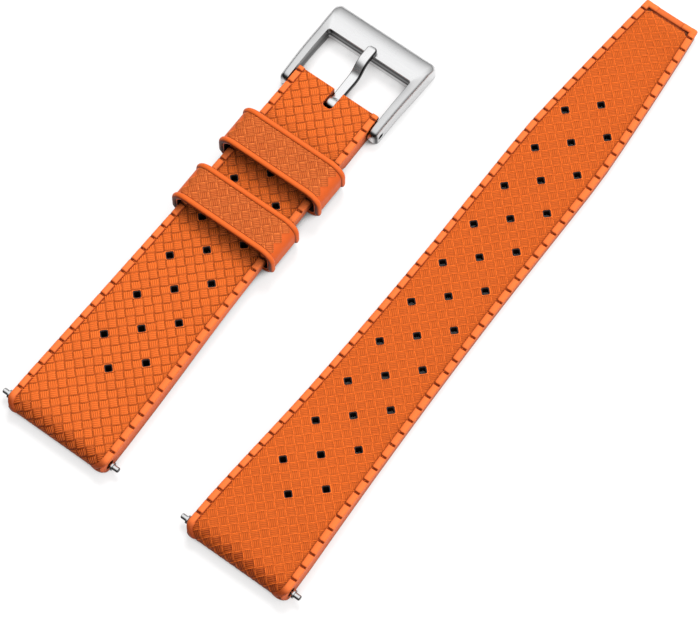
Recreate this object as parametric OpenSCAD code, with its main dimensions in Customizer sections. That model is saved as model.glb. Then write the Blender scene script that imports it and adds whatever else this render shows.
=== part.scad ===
// A moulded rubber watch strap in two halves, lying flat side by side.
// The short half carries two keepers and a steel buckle; each half has a sprung lug bar.
// X runs across the straps, Y from the watch ends towards the tips, Z up from the table.
// Each half is drawn with its watch end at y = 0 and its centre line at x = 0, then laid in place.

/* [Rubber halves] */
// Width of both halves at the watch end
lug_width = 19.5; // [18.5:0.1:20.4]
// Length of the half with the tapering tail
long_length = 119.6; // [112:0.2:130]
// Length of the half that carries the buckle
short_length = 75; // [74:1:84]
// Distance between the centre lines of the two halves as they lie
halves_apart = 35.4; // [30:0.2:50]
// Thickness of both halves at the watch end, over the edge rails
lug_thickness = 3.5; // [3.3:0.1:4.2]
// Thickness of the tail, over the edge rails
tail_thickness = 1.9; // [1.5:0.1:2.4]
// Width of the long half at its waist
waist_width = 15.2; // [13:0.1:16]
// Width of the long half at its blunt tip
tip_width = 10; // [8:0.1:13]
// Width of the short half at the buckle
buckle_end_width = 16; // [14:0.1:18]
// Radius of the corners at the watch end, seen from above
nose_corner = 1.3; // [0.6:0.1:2]
// Radius of the corners at the tip, seen from above
tip_corner = 0.8; // [0.4:0.1:2]
// Where the long half has thinned to its tail, from the watch end
thin_from = 34; // [28:1:60]
// Length of the narrowing point of the tail
point_length = 32; // [20:1:40]

/* [Edge rails] */
// Width of the raised rail along each edge
rail_width = 1.0; // [0.8:0.05:1.4]
// Height of the rails over the woven field
rail_height = 0.3; // [0.2:0.05:0.4]
// Distance between the notches that cut the rails into blocks, before it is fitted to the length
notch_pitch = 2.5; // [2:0.1:3.5]
// Width of a notch at its top
notch_width = 0.45; // [0.3:0.05:0.7]
// From the watch end to the first notch
first_notch = 3.3; // [2.8:0.1:5]
// From the last notch to the tip of the long half
long_last_notch = 1.8; // [1.6:0.1:4]
// From the last notch to the buckle end of the short half
short_last_notch = 0.9; // [0.6:0.1:3]
// Length of the cross rail that closes the tail, along the strap
cross_rail = 1.05; // [0.8:0.05:1.5]

/* [Holes] */
// Distance between the square holes along the strap
hole_pitch = 8.5; // [7.5:0.1:9.5]
// Side of a square hole
hole_side = 1.1; // [0.8:0.05:1.6]
// From the watch end to the first hole
first_hole = 14.1; // [11:0.1:18]
// Distance of the side rows from the centre row
row_offset = 4.2; // [3.6:0.1:4.6]
// Holes in the centre row of the long half
long_holes = 11; // [7:1:11]
// Holes in the centre row of the short half
short_holes = 6; // [3:1:6]

/* [Keepers] */
// Length of a keeper along the strap
keeper_length = 7.4; // [5:0.1:7.8]
// Wall of a keeper
keeper_wall = 0.8; // [0.7:0.1:1.2]
// How far the round rims stand proud of the wall
rim_height = 0.25; // [0.1:0.05:0.4]
// Radius of the round rims
rim_r = 0.5; // [0.4:0.05:0.7]
// Radius of a keeper's upper corners, outside its wall
keeper_shoulder = 2.6; // [2:0.1:3]
// Radius of a keeper's lower corners, inside its wall
keeper_inner_corner = 1; // [0.3:0.1:1]
// Free space on each side of the strap in a keeper, were it centred
keeper_side_gap = 0.5; // [0.5:0.05:0.8]
// How far to the right of the strap's centre line the keepers sit
keeper_shift = 0.2; // [0:0.05:0.2]
// Free space under the strap in a keeper
keeper_under_gap = 0.35; // [0.35:0.05:0.6]
// Free space over the tail when it lies on the strap in a keeper
keeper_tail_gap = 0.4; // [0.1:0.05:0.8]
// From the buckle end of the short half to the upper keeper
upper_keeper_back = 12.0; // [11.9:0.1:14]
// Open stretch between the two keepers
keepers_between = 5.0; // [4.8:0.1:8]

/* [Buckle] */
// Free space between the strap and each arm of the frame
frame_side_gap = 0.3; // [0.15:0.05:0.5]
// Width of an arm beside the front bar
arm_width = 1.9; // [1.6:0.05:2.6]
// How much narrower the arms are at the knuckles, on their outer sides
arm_taper = 0.35; // [0:0.05:0.5]
// Width of the front bar, along the strap
front_bar = 5.1; // [3:0.1:5.5]
// From the bar's axis to the inner edge of the front bar
frame_opening = 10.35; // [9.6:0.05:13]
// Height of the frame
frame_height = 3.2; // [3.0:0.1:3.6]
// Radius of the frame's front corners at its foot, seen from above
frame_corner = 0.8; // [0.5:0.1:2]
// How far the arms' outer edges roll inward at the top
arm_roll = 0.9; // [0.5:0.05:1.2]
// How far the front bar rolls inward at the top, towards the tang's seat
front_roll = 3.1; // [1.5:0.1:3.4]
// Height of the upright wall under the roll
frame_wall = 2.1; // [1.4:0.1:2.4]
// Width of the tang
tang_width = 1.6; // [1.2:0.1:2.4]
// Thickness of the tang
tang_thickness = 0.85; // [0.6:0.05:1]
// Radius of the tang's two bends, at the middle of its thickness
tang_bend = 1.4; // [0.8:0.1:1.8]
// Wall of the tang's rolled hub
hub_wall = 0.45; // [0.3:0.05:0.55]
// How far the tang's tip lies on the front bar
tang_overlap = 1.3; // [0.8:0.1:2.5]
// Free space beside the tang in its slot, and behind its hub
slot_gap = 0.1; // [0.08:0.02:0.3]
// Length of the slot behind the bar's axis
slot_behind = 1.65; // [1.6:0.05:2.2]

/* [Spring bars] */
// From the end of a half to the axis of its bar
bar_inset = 1.9; // [1.8:0.05:2.4]
// Outer radius of a bar's tube
tube_r = 0.75; // [0.65:0.05:0.9]
// Inner radius of a bar's tube
tube_bore_r = 0.5; // [0.45:0.05:0.55]
// Radius of the pin that sits in a lug or a knuckle
pin_r = 0.45; // [0.35:0.05:0.5]
// Radius of the neck that slides in the tube's rolled mouth
neck_r = 0.28; // [0.22:0.01:0.3]
// Running clearance on the radius of every sliding or turning fit
running_gap = 0.05; // [0.03:0.01:0.08]
// How far a tip can be pressed in
tip_travel = 1.5; // [1:0.1:1.8]
// Length of the pin of a lug bar
lug_pin = 1.1; // [0.8:0.1:1.6]
// Radius of the disc on a lug bar's tip
disc_r = 0.72; // [0.6:0.02:0.74]
// Thickness of that disc
disc_t = 0.25; // [0.15:0.05:0.4]
// From the strap's side to the disc
disc_out = 0.4; // [0.2:0.05:0.6]
// Length of the rolled mouth at each end of a tube
mouth_length = 0.5; // [0.4:0.1:0.8]
// Length of a tip's head inside the tube
head_length = 1.1; // [0.8:0.1:1.6]
// Radius of the spring's wire
wire_r = 0.09; // [0.07:0.01:0.1]
// Distance from one curl of a spring to the next, before it is fitted to the length
curl_pitch = 0.8; // [0.7:0.05:1.2]

/* [Hidden] */
$fn = 48;
rubber = [0.93, 0.42, 0.16];
steel = [0.82, 0.82, 0.83];

// Small amounts used by every cut: past a face, and a mould's or a stop's hair of play
past = 1;
hair = 0.03;

// The bore through the rubber for a bar, and the height of all three bar axes
bore_r = tube_r + running_gap;
nose_r = lug_thickness / 2;
body_nose_r = (lug_thickness - rail_height) / 2;
axis_z = body_nose_r;

// How the widths run: full width for a while at the watch end, then easing in
full_width_to = 4;
long_ease = 1.7;
short_ease = 1.45;
point_ease = 1.2;
waist_at = 66;
rail_side = hair;
function eased(t, power) = pow(1 - min(max(t, 0), 1), power);
function long_half_width(s) =
    waist_width / 2
    + (lug_width - waist_width) / 2 * eased((s - full_width_to) / (waist_at - full_width_to), long_ease)
    - (waist_width - tip_width) / 2
        * pow(min(max((s - long_length + point_length) / point_length, 0), 1), point_ease);
function short_half_width(s) =
    buckle_end_width / 2
    + (lug_width - buckle_end_width) / 2
        * eased((s - full_width_to) / (short_length - full_width_to), short_ease);

// How the heights run: the long half thins from above, the short half is hollowed from below
thick_to = 8;
function smooth(t) = let (c = min(max(t, 0), 1)) c * c * (3 - 2 * c);
function long_top(s) =
    lug_thickness - (lug_thickness - tail_thickness) * smooth((s - thick_to) / (thin_from - thick_to));
keeper_lift = rim_height + keeper_wall + keeper_under_gap;
hollow_from = 12;
hollow_run = 24;
step_length = 1.6;
upper_keeper_at = short_length - upper_keeper_back - keeper_length;
lower_keeper_at = upper_keeper_at - keepers_between - keeper_length;
step_at = upper_keeper_at + keeper_length + 1.2;
function short_under(s) =
    keeper_lift * min(smooth((s - hollow_from) / hollow_run), 1 - smooth((s - step_at) / step_length));

// Stations along a half: distance from the watch end, half width, underside, top of the rails
long_steps = 24;
long_stations = [for (i = [0:long_steps])
    let (s = nose_r + (long_length - nose_r) * i / long_steps)
    [s, long_half_width(s), 0, long_top(s)]];
short_steps = 14;
short_run = step_at - nose_r;
short_marks = concat(
    [for (i = [0:short_steps]) nose_r + short_run * i / short_steps],
    [step_at + step_length, short_length]);
short_stations = [for (s = short_marks)
    [s, short_half_width(s), short_under(s), lug_thickness]];

// One moulded half without its rails: the side view and the plan, each drawn out, and what they share
function corner_points(half_w, end_s, r, dir) = [for (a = [0:15:90])
    [half_w - r + r * sin(a), end_s + dir * (r - r * cos(a))]];
function flipped(points) = [for (i = [len(points) - 1:-1:0]) [-points[i][0], points[i][1]]];
function reversed(points) = [for (i = [len(points) - 1:-1:0]) points[i]];
function plan_side(stations, length, end_r) = concat(
    corner_points(stations[0][1], 0, nose_corner, 1),
    [for (p = stations) if (p[0] > nose_corner && p[0] < length - end_r - hair) [p[1], p[0]]],
    reversed(corner_points(stations[len(stations) - 1][1], length, end_r, -1)));

module plan(stations, length, end_r) {
    side = plan_side(stations, length, end_r);
    polygon(concat(side, flipped(side)));
}

module side_view(stations) {
    translate([nose_r, body_nose_r])
        circle(r = body_nose_r);
    polygon(concat(
        [for (p = stations) [p[0], p[2]]],
        reversed([for (p = stations) [p[0], p[3] - rail_height]])));
}

module half_body(stations, length, end_r) {
    intersection() {
        linear_extrude(lug_thickness + past)
            plan(stations, length, end_r);
        rotate([90, 0, 90])
            linear_extrude(lug_width + 2 * past, center = true)
                side_view(stations);
    }
}

// The rail along the right edge: a rounded bead swept round the nose and along the top
bead = [[-rail_side, -0.8], [-rail_side, -0.28], [0.1, -0.08], [0.3, 0],
    [rail_width - 0.35, 0], [rail_width - 0.12, -0.08], [rail_width, -0.22], [rail_width, -0.8]];
nose_turns = [225, 210, 195, 187, 180, 173, 165, 150, 135, 120, 105];
function corner_in(s) = s >= nose_corner ? 0
    : nose_corner - sqrt(max(nose_corner * nose_corner - pow(nose_corner - s, 2), 0));
function nose_ring(half_w, turn) = let (s = nose_r + nose_r * cos(turn))
    [for (b = bead)
        [half_w - corner_in(s) - b[0], s + b[1] * cos(turn), nose_r + (nose_r + b[1]) * sin(turn)]];
function top_ring(p, end_s) = [for (b = bead) [p[1] - b[0], min(p[0], end_s - hair), p[3] + b[1]]];

module rail(stations, length) {
    rings = concat(
        [for (a = nose_turns) nose_ring(stations[0][1], a)],
        [for (p = stations) top_ring(p, length)]);
    n = len(bead);
    m = len(rings);
    polyhedron(
        points = [for (r = rings, p = r) p],
        faces = concat(
            [[for (i = [n - 1:-1:0]) i]],
            [for (k = [0:m - 2], i = [0:n - 1])
                let (j = (i + 1) % n)
                [k * n + i, (k + 1) * n + j, (k + 1) * n + i]],
            [for (k = [0:m - 2], i = [0:n - 1])
                let (j = (i + 1) % n)
                [k * n + i, k * n + j, (k + 1) * n + j]],
            [[for (i = [0:n - 1]) (m - 1) * n + i]]),
        convexity = 6);
}

module rails(stations, length) {
    rail(stations, length);
    mirror([1, 0, 0])
        rail(stations, length);
}

// A notch across both rails, just short of the field between them
notch_floor = rail_height - 0.04;
module notch() {
    rotate([90, 0, 90])
        linear_extrude(lug_width + 2 * past, center = true)
            polygon([[-notch_width * 0.25, -notch_floor], [notch_width * 0.25, -notch_floor],
                [notch_width / 2, 0], [notch_width / 2, past], [-notch_width / 2, past],
                [-notch_width / 2, 0]]);
}
function notch_count(length, last) = round((length - first_notch - last) / notch_pitch);
function notch_at(i, length, last) =
    first_notch + i * (length - first_notch - last) / notch_count(length, last);

// Square holes set cornerwise in three rows, the side rows half a step further on
module hole_at(x, s) {
    translate([x, s, -past])
        rotate([0, 0, 45])
            translate([-hole_side / 2, -hole_side / 2, 0])
                cube([hole_side, hole_side, lug_thickness + 2 * past]);
}
module holes(count) {
    for (i = [0:count - 1])
        hole_at(0, first_hole + i * hole_pitch);
    for (i = [0:count - 2], side = [-1, 1])
        hole_at(side * row_offset, first_hole + (i + 0.5) * hole_pitch);
}

module bar_bore(s) {
    translate([0, s, axis_z])
        rotate([0, 90, 0])
            cylinder(h = lug_width + 2 * past, r = bore_r, center = true);
}

// The cross rail at the tip: two corner blocks and a lower bar between them, with a pit beside each block
corner_block = 2.4;
pit_length = 0.45;
pit_width = 0.9;
pit_depth = 0.5;
middle_drop = 0.12;
module tip_slice(low_x, high_x, top) {
    linear_extrude(top)
        intersection() {
            plan(long_stations, long_length, tip_corner);
            translate([low_x, long_length - cross_rail])
                square([high_x - low_x, cross_rail]);
        }
}
module cross_bar() {
    tip_slice(-tip_width / 2, -tip_width / 2 + corner_block, tail_thickness);
    tip_slice(tip_width / 2 - corner_block, tip_width / 2, tail_thickness);
    tip_slice(-tip_width / 2 + corner_block - hair, tip_width / 2 - corner_block + hair,
        tail_thickness - middle_drop);
}
module pits() {
    for (side = [-1, 1])
        translate([side * (tip_width / 2 - rail_width - pit_width / 2) - pit_width / 2,
                long_length - cross_rail - pit_length, tail_thickness - rail_height - pit_depth])
            cube([pit_width, pit_length, pit_depth + past]);
}

// Where the two halves lie
module on_short() {
    translate([-halves_apart / 2, -long_length / 2, 0])
        children();
}
module on_long() {
    translate([halves_apart / 2, -long_length / 2, 0])
        children();
}

module long_strap() {
    color(rubber)
        on_long()
            difference() {
                union() {
                    half_body(long_stations, long_length, tip_corner);
                    rails(long_stations, long_length);
                    cross_bar();
                }
                for (i = [0:notch_count(long_length, long_last_notch)])
                    let (s = notch_at(i, long_length, long_last_notch))
                        translate([0, s, long_top(s)])
                            notch();
                holes(long_holes);
                bar_bore(bar_inset);
                pits();
            }
}

// The slot for the tang, open at the buckle end and rounded at its closed end
slot_width = tang_width + 2 * slot_gap;
buckle_axis = short_length - bar_inset;
slot_round = 0.6;
module tang_slot() {
    translate([-slot_width / 2, buckle_axis - slot_behind + slot_round, -past])
        cube([slot_width, slot_behind + bar_inset + past, lug_thickness + 2 * past]);
    translate([-slot_width / 2 + slot_round, buckle_axis - slot_behind, -past])
        cube([slot_width - 2 * slot_round, slot_behind, lug_thickness + 2 * past]);
    for (side = [-1, 1])
        translate([side * (slot_width / 2 - slot_round), buckle_axis - slot_behind + slot_round, -past])
            cylinder(h = lug_thickness + 2 * past, r = slot_round);
}

buckle_corner = 0.3;
module short_strap() {
    color(rubber)
        on_short()
            difference() {
                union() {
                    half_body(short_stations, short_length, buckle_corner);
                    rails(short_stations, short_length);
                }
                for (i = [0:notch_count(short_length, short_last_notch)])
                    translate([0, notch_at(i, short_length, short_last_notch), lug_thickness])
                        notch();
                holes(short_holes);
                bar_bore(bar_inset);
                bar_bore(buckle_axis);
                tang_slot();
            }
}

// A keeper: one wall section with a round rim at each end, carried round a rounded oblong
keeper_reach = 0.8;
keeper_half = ceil(100 * (short_half_width(lower_keeper_at - keeper_reach)
    + rail_side + keeper_side_gap + keeper_wall)) / 100;
keeper_low = rim_height;
keeper_high = lug_thickness + tail_thickness + keeper_tail_gap + keeper_wall;
keeper_foot = keeper_wall + keeper_inner_corner;
rim_step = 0.15;
module wall_section() {
    translate([-keeper_wall, rim_step])
        square([keeper_wall, keeper_length - 2 * rim_step]);
    for (y = [rim_r, keeper_length - rim_r])
        translate([rim_height - rim_r, y])
            circle(r = rim_r);
}
// A straight run of the wall from one place on the oblong to the next, its outside to the right
module wall_run(from, to) {
    run = to - from;
    translate([from[0], 0, from[1]])
        rotate([0, -atan2(run[1], run[0]), 0])
            rotate([0, 90, 0])
                linear_extrude(norm(run))
                    wall_section();
}
// A quarter turn about a centre, starting at the given angle in the side view from the front
module wall_turn(centre, r, start) {
    translate([centre[0], 0, centre[1]])
        rotate([0, -start, 0])
            rotate([-90, 0, 0])
                mirror([0, 1, 0])
                    rotate_extrude(angle = 90)
                        translate([r, 0])
                            wall_section();
}
module keeper(at) {
    side = keeper_half;
    low = keeper_low;
    high = keeper_high;
    foot = keeper_foot;
    top = keeper_shoulder;
    on_short()
        translate([keeper_shift, at, 0]) {
            wall_run([-side + foot, low], [side - foot, low]);
            wall_run([side, low + foot], [side, high - top]);
            wall_run([side - top, high], [-side + top, high]);
            wall_run([-side, high - top], [-side, low + foot]);
            wall_turn([side - foot, low + foot], foot, -90);
            wall_turn([side - top, high - top], top, 0);
            wall_turn([-side + top, high - top], top, 90);
            wall_turn([-side + foot, low + foot], foot, 180);
        }
}
module upper_keeper() {
    color(rubber)
        keeper(upper_keeper_at);
}
module lower_keeper() {
    color(rubber)
        keeper(lower_keeper_at);
}

// The buckle is drawn with its bar's axis along X through the origin, and laid on the short half
module on_buckle() {
    on_short()
        translate([0, buckle_axis, axis_z])
            children();
}

frame_inner = buckle_end_width / 2 + frame_side_gap;
frame_outer = frame_inner + arm_width;
frame_front = frame_opening + front_bar;
knuckle_r = axis_z;
knuckle_bore_r = pin_r + running_gap;
knuckle_corner = 1.1;
inner_corner = 0.4;
// The front's roll leaves the tang a flat seat
rolled_front = min(front_roll, front_bar - tang_overlap - 0.2);
// The outline seen from above, drawn in by a share of the rolls, with its front corners widened to match
module frame_plan(share) {
    side_in = arm_roll * share;
    front_in = rolled_front * share;
    half = frame_outer - side_in;
    back_half = half - arm_taper;
    front = frame_front - front_in;
    back = -knuckle_r + side_in * 0.3;
    r = frame_corner + (side_in + front_in) / 2;
    b = knuckle_corner;
    polygon(concat(
        [for (a = [0:10:90]) [half - r + r * cos(a), front - r + r * sin(a)]],
        [for (a = [90:10:180]) [-half + r + r * cos(a), front - r + r * sin(a)]],
        [for (a = [180:15:270]) [-back_half + b + b * cos(a), back + b + b * sin(a)]],
        [for (a = [270:15:360]) [back_half - b + b * cos(a), back + b + b * sin(a)]]));
}
// Upright outer walls, then a quarter of an ellipse inward to a narrower flat top
module frame_blank() {
    hull()
        for (turn = [0:18:90])
            linear_extrude(frame_wall + (frame_height - frame_wall) * sin(turn))
                frame_plan(1 - cos(turn));
}
// The side view of the frame: a round knuckle, and an arm that rises to the front bar
module frame_side() {
    circle(r = knuckle_r);
    polygon([[0, -knuckle_r], [frame_front + past, -axis_z], [frame_front + past, frame_height - axis_z],
        [frame_opening, frame_height - axis_z], [0, knuckle_r]]);
}
module buckle_frame() {
    color(steel)
        on_buckle()
            difference() {
                intersection() {
                    translate([0, 0, -axis_z])
                        frame_blank();
                    rotate([90, 0, 90])
                        linear_extrude(2 * frame_outer + 2 * past, center = true)
                            frame_side();
                }
                translate([-frame_inner, -knuckle_r - past, -axis_z - past])
                    cube([2 * frame_inner, frame_opening + knuckle_r + past - inner_corner,
                        frame_height + 2 * past]);
                translate([-frame_inner + inner_corner, 0, -axis_z - past])
                    cube([2 * (frame_inner - inner_corner), frame_opening, frame_height + 2 * past]);
                for (side = [-1, 1])
                    translate([side * (frame_inner - inner_corner), frame_opening - inner_corner,
                            -axis_z - past])
                        cylinder(h = frame_height + 2 * past, r = inner_corner);
                rotate([0, 90, 0])
                    cylinder(h = 2 * frame_outer + 2 * past, r = knuckle_bore_r, center = true);
            }
}

// The tang: a rolled hub, a flat arm at the height of the axis, a rise, and a tip on the front bar
hub_bore_r = tube_r + running_gap;
hub_r = hub_bore_r + hub_wall;
tang_tip = frame_opening + tang_overlap;
tang_seat = frame_height - axis_z + hair;
rise_from = frame_opening - 3.9;
rise_run = 2.1;
tip_round = 0.7;
tip_drop = 0.45;
// Points of an arc in the side view, from one angle to another
function side_arc(centre, r, from, to) = [for (i = [0:6])
    let (a = from + (to - from) * i / 6) centre + r * [cos(a), sin(a)]];
module tang_side() {
    half_t = tang_thickness / 2;
    high = tang_seat + half_t;
    slope = atan2(high, rise_run);
    setback = tang_bend * tan(slope / 2);
    low_centre = [rise_from - setback, tang_bend];
    high_centre = [rise_from + rise_run + setback, high - tang_bend];
    circle(r = hub_r);
    polygon(concat(
        [[0, -half_t]],
        side_arc(low_centre, tang_bend + half_t, -90, slope - 90),
        side_arc(high_centre, tang_bend - half_t, 90 + slope, 90),
        [[tang_tip, tang_seat]],
        [for (a = [0:18:90])
            [tang_tip - tip_round + tip_round * cos(a), high + half_t - tip_drop + tip_drop * sin(a)]],
        side_arc(high_centre, tang_bend + half_t, 90, 90 + slope),
        side_arc(low_centre, tang_bend - half_t, slope - 90, -90),
        [[0, half_t]]));
}
module tang_plan() {
    half = tang_width / 2;
    polygon(concat([[-half, -hub_r - past], [half, -hub_r - past]],
        [for (a = [0:15:90]) [half - tip_round + tip_round * cos(a), tang_tip - tip_round + tip_round * sin(a)]],
        [for (a = [90:15:180]) [-half + tip_round + tip_round * cos(a), tang_tip - tip_round + tip_round * sin(a)]]));
}
module buckle_tang() {
    color(steel)
        on_buckle()
            difference() {
                intersection() {
                    rotate([90, 0, 90])
                        linear_extrude(tang_width, center = true)
                            tang_side();
                    translate([0, 0, -hub_r - past])
                        linear_extrude(hub_r + tang_seat + tang_thickness + 2 * past)
                            tang_plan();
                }
                rotate([0, 90, 0])
                    cylinder(h = tang_width + 2 * past, r = hub_bore_r, center = true);
            }
}

// Spring bars are turned parts about X: half lengths from the bar's middle
// The lug bar's disc just meets its tube when the tip is pressed in
lug_disc_x = lug_width / 2 + disc_out;
lug_tube_x = lug_disc_x - tip_travel - hair;
lug_reach = lug_disc_x + disc_t + lug_pin;
// The buckle bar's pins stop inside the knuckles and leave them when pressed in
knuckle_recess = 0.35;
buckle_reach = frame_outer - arm_taper - knuckle_recess;
buckle_tube_x = buckle_end_width / 2 - 0.8;
buckle_shoulder_x = buckle_tube_x + tip_travel + hair;

mouth_r = neck_r + running_gap;
head_r = tube_bore_r - running_gap;
module turned(points) {
    rotate([0, 90, 0])
        rotate_extrude()
            polygon(points);
}
module bar_tube(half) {
    inner = half - mouth_length;
    turned([[mouth_r, -half], [tube_r - 0.1, -half], [tube_r, -half + 0.15], [tube_r, half - 0.15],
        [tube_r - 0.1, half], [mouth_r, half], [mouth_r, inner], [tube_bore_r, inner],
        [tube_bore_r, -inner], [mouth_r, -inner]]);
}
// A tip on the right: head inside the tube, neck through its mouth, then a disc or none, and the pin
module bar_tip(tube_half, shoulder, disc, reach) {
    head_out = tube_half - mouth_length - hair;
    head_in = head_out - head_length;
    round = 0.12;
    turned(concat(
        [[0, head_in], [head_r, head_in], [head_r, head_out], [neck_r, head_out], [neck_r, shoulder]],
        disc ? [[disc_r, shoulder], [disc_r, shoulder + disc_t], [pin_r, shoulder + disc_t]]
            : [[pin_r, shoulder]],
        [[pin_r, reach - round], [pin_r - round, reach], [0, reach]]));
}

// A coil between the two heads: one unbroken tube about X, six sides, eight rings to a curl
coil_sides = 6;
rings_per_curl = 8;
coil_r = head_r - wire_r - 0.02;
module bar_spring(tube_half) {
    half = tube_half - mouth_length - 2 * hair - head_length - wire_r;
    curls = round(2 * half / curl_pitch);
    count = curls * rings_per_curl;
    rise = 2 * half / count;
    pitch_run = 2 * PI * coil_r;
    slope = atan2(2 * half / curls, pitch_run);
    points = [for (k = [0:count], i = [0:coil_sides - 1])
        let (a = 360 * k / rings_per_curl, b = 360 * i / coil_sides,
            out = coil_r + wire_r * cos(b), along = wire_r * sin(b))
        [-half + rise * k + along * cos(slope),
            out * cos(a) + along * sin(slope) * sin(a),
            out * sin(a) - along * sin(slope) * cos(a)]];
    echo(spring_gap = least_gap(points, count));
    polyhedron(points = points,
        faces = concat(
            [[for (i = [coil_sides - 1:-1:0]) i]],
            [for (k = [0:count - 1], i = [0:coil_sides - 1])
                let (j = (i + 1) % coil_sides)
                [k * coil_sides + i, k * coil_sides + j, (k + 1) * coil_sides + j]],
            [for (k = [0:count - 1], i = [0:coil_sides - 1])
                let (j = (i + 1) % coil_sides)
                [k * coil_sides + i, (k + 1) * coil_sides + j, (k + 1) * coil_sides + i]],
            [[for (i = [0:coil_sides - 1]) count * coil_sides + i]]),
        convexity = 10);
}
// The least distance from a ring's points to the points a curl further on
function least_gap(points, count) = min([
    for (k = [0:count - rings_per_curl], i = [0:coil_sides - 1], j = [0:coil_sides - 1])
    norm(points[k * coil_sides + i] - points[(k + rings_per_curl) * coil_sides + j])]);

module at_short_lug() {
    on_short()
        translate([0, bar_inset, axis_z])
            children();
}
module at_long_lug() {
    on_long()
        translate([0, bar_inset, axis_z])
            children();
}
module lug_tip() {
    bar_tip(lug_tube_x, lug_disc_x, true, lug_reach);
}
module buckle_tip() {
    bar_tip(buckle_tube_x, buckle_shoulder_x, false, buckle_reach);
}

module buckle_bar_tube() {
    color(steel)
        on_buckle()
            bar_tube(buckle_tube_x);
}
module buckle_bar_spring() {
    color(steel)
        on_buckle()
            bar_spring(buckle_tube_x);
}
module buckle_bar_tip_left() {
    color(steel)
        on_buckle()
            mirror([1, 0, 0])
                buckle_tip();
}
module buckle_bar_tip_right() {
    color(steel)
        on_buckle()
            buckle_tip();
}
module short_lug_bar_tube() {
    color(steel)
        at_short_lug()
            bar_tube(lug_tube_x);
}
module short_lug_bar_spring() {
    color(steel)
        at_short_lug()
            bar_spring(lug_tube_x);
}
module short_lug_bar_tip_left() {
    color(steel)
        at_short_lug()
            mirror([1, 0, 0])
                lug_tip();
}
module short_lug_bar_tip_right() {
    color(steel)
        at_short_lug()
            lug_tip();
}
module long_lug_bar_tube() {
    color(steel)
        at_long_lug()
            bar_tube(lug_tube_x);
}
module long_lug_bar_spring() {
    color(steel)
        at_long_lug()
            bar_spring(lug_tube_x);
}
module long_lug_bar_tip_left() {
    color(steel)
        at_long_lug()
            mirror([1, 0, 0])
                lug_tip();
}
module long_lug_bar_tip_right() {
    color(steel)
        at_long_lug()
            lug_tip();
}

short_strap();
long_strap();
upper_keeper();
lower_keeper();
buckle_frame();
buckle_tang();
buckle_bar_tube();
buckle_bar_spring();
buckle_bar_tip_left();
buckle_bar_tip_right();
short_lug_bar_tube();
short_lug_bar_spring();
short_lug_bar_tip_left();
short_lug_bar_tip_right();
long_lug_bar_tube();
long_lug_bar_spring();
long_lug_bar_tip_left();
long_lug_bar_tip_right();
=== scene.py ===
import math

import bmesh
import bpy
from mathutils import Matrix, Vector


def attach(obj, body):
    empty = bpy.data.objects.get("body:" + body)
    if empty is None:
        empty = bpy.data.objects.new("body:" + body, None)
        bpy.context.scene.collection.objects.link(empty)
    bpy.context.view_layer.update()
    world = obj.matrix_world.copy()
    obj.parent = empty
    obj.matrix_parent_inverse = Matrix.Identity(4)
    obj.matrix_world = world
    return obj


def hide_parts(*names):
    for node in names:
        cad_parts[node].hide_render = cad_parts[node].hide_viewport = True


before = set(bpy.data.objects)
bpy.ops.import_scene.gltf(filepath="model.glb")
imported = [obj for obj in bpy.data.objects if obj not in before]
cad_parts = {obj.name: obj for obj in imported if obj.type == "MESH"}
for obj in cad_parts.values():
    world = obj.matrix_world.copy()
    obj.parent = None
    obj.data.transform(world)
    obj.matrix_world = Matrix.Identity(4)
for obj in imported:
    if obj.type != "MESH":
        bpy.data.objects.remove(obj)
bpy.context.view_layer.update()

MM = 0.001
SCENE = bpy.context.scene
SCENE.view_settings.view_transform = "Standard"

# Sizes, in millimetres
# The same values as the part's source, in the same frame: X across, Y along, Z up.
LONG_LENGTH, SHORT_LENGTH = 119.6, 75.0
LONG_X, SHORT_X = 17.7, -17.7
NOSE_Y = -LONG_LENGTH / 2
WATCH_HALF, WAIST_HALF, TIP_HALF, BUCKLE_HALF = 9.75, 7.6, 5.0, 8.0
STRAIGHT, WAIST_AT, POINT = 4, 66, 32  # the full width's end, the long half's waist, its point's length
THICK, TAIL = 3.5, 1.9
THIN_FROM, THIN_OVER = 8, 26  # where the long half gets thinner, and over what length
HOLLOW_H, HOLLOW_FROM, HOLLOW_OVER = 1.4, 12, 24  # the short half's hollow underside
STEP_AT, STEP_LENGTH = 64.2, 1.6  # where that ends, and over what length
RAIL_H = 0.3
NOSE_R, BODY_R, NOSE_CORNER = 1.75, 1.6, 1.3
NOTCH_FIRST, NOTCH_PITCH = 3.3, 2.5
NOTCH_DEEP, NOTCH_FLAT = 0.26, 0.1125  # a notch's depth, and half its floor's width, which is a slope's too
AXIS_Z = 1.6
HOLE_PITCH, HOLE_SIDE, FIRST_HOLE, ROW = 8.5, 1.1, 14.1, 4.2
LONG_HOLES, SHORT_HOLES = 11, 6
BUCKLE_S = SHORT_LENGTH - 1.9
SLOT_HALF, SLOT_FROM, SLOT_ROUND = 0.9, BUCKLE_S - 1.65, 0.6


def clamp(t, low=0.0, high=1.0):
    return min(max(t, low), high)


def smooth(t):
    t = clamp(t)
    return t * t * (3 - 2 * t)


def long_half_width(s):
    to_waist = clamp((s - STRAIGHT) / (WAIST_AT - STRAIGHT))
    to_tip = clamp((s - LONG_LENGTH + POINT) / POINT)
    return (WAIST_HALF + (WATCH_HALF - WAIST_HALF) * (1 - to_waist) ** 1.7
            - (WAIST_HALF - TIP_HALF) * to_tip ** 1.2)


def short_half_width(s):
    to_end = clamp((s - STRAIGHT) / (SHORT_LENGTH - STRAIGHT))
    return BUCKLE_HALF + (WATCH_HALF - BUCKLE_HALF) * (1 - to_end) ** 1.45


def long_top(s):
    return THICK - (THICK - TAIL) * smooth((s - THIN_FROM) / THIN_OVER)


def short_top(s):
    return THICK


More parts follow.
